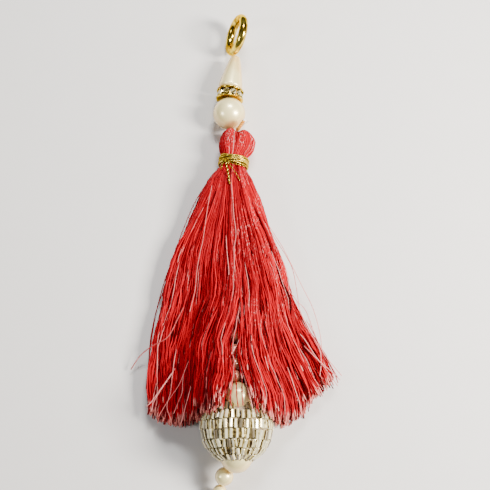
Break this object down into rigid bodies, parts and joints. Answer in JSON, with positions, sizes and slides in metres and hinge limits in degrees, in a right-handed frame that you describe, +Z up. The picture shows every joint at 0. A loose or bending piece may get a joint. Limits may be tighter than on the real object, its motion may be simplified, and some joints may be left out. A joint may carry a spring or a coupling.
{
  "type": "beaded silk tassel",
  "caption": "Red silk tassel lying flat under a gold ring, with pearl beads, a rhinestone rondelle, a gold thread binding and a beaded ball strung through its skirt.",
  "frame": {"origin": "flat spot under the beaded ball, on the surface that the tassel lies on", "axes": "+Y along the tassel from the ball up to the ring, +Z up from the surface, +X to the right seen from above with the ring at the top"},
  "size_m": [0.0412, 0.1189, 0.0176],
  "materials": {
    "red_silk": "lustrous red silk thread with paler sheen and pale cut ends",
    "gold_plate": "polished gold plate",
    "gold_thread": "metallic gold wrapped thread",
    "pearl": "cream imitation pearl coat",
    "silver_lined_glass": "clear glass bugle beads with a silver lining",
    "crystal": "clear faceted rhinestone",
    "orange_cord": "twisted golden orange cord",
    "white_thread": "white thread"
  },
  "bodies": {
    "root": {"ring": "gold_plate", "rondelle": "gold_plate", "drop_bead": "pearl", "top_pearl": "pearl", "hanging_cord": "orange_cord", "thread_end": "white_thread", "tassel": "red_silk", "neck_binding": "gold_thread", "chain_thread": "white_thread", "ball_top_pearl": "pearl", "bead_ball": "silver_lined_glass", "bottom_pearl": "pearl", "small_pearl": "pearl", "end_bead": "pearl", "end_knot": "white_thread", "stone_1": "crystal", "stone_2": "crystal", "stone_3": "crystal", "stone_4": "crystal", "stone_5": "crystal", "stone_6": "crystal", "stone_7": "crystal", "stone_8": "crystal", "stone_9": "crystal", "stone_10": "crystal", "chain_pearl_1": "pearl", "chain_pearl_2": "pearl", "chain_pearl_3": "pearl", "chain_pearl_4": "pearl", "chain_pearl_5": "pearl"}
  },
  "joints": []
}
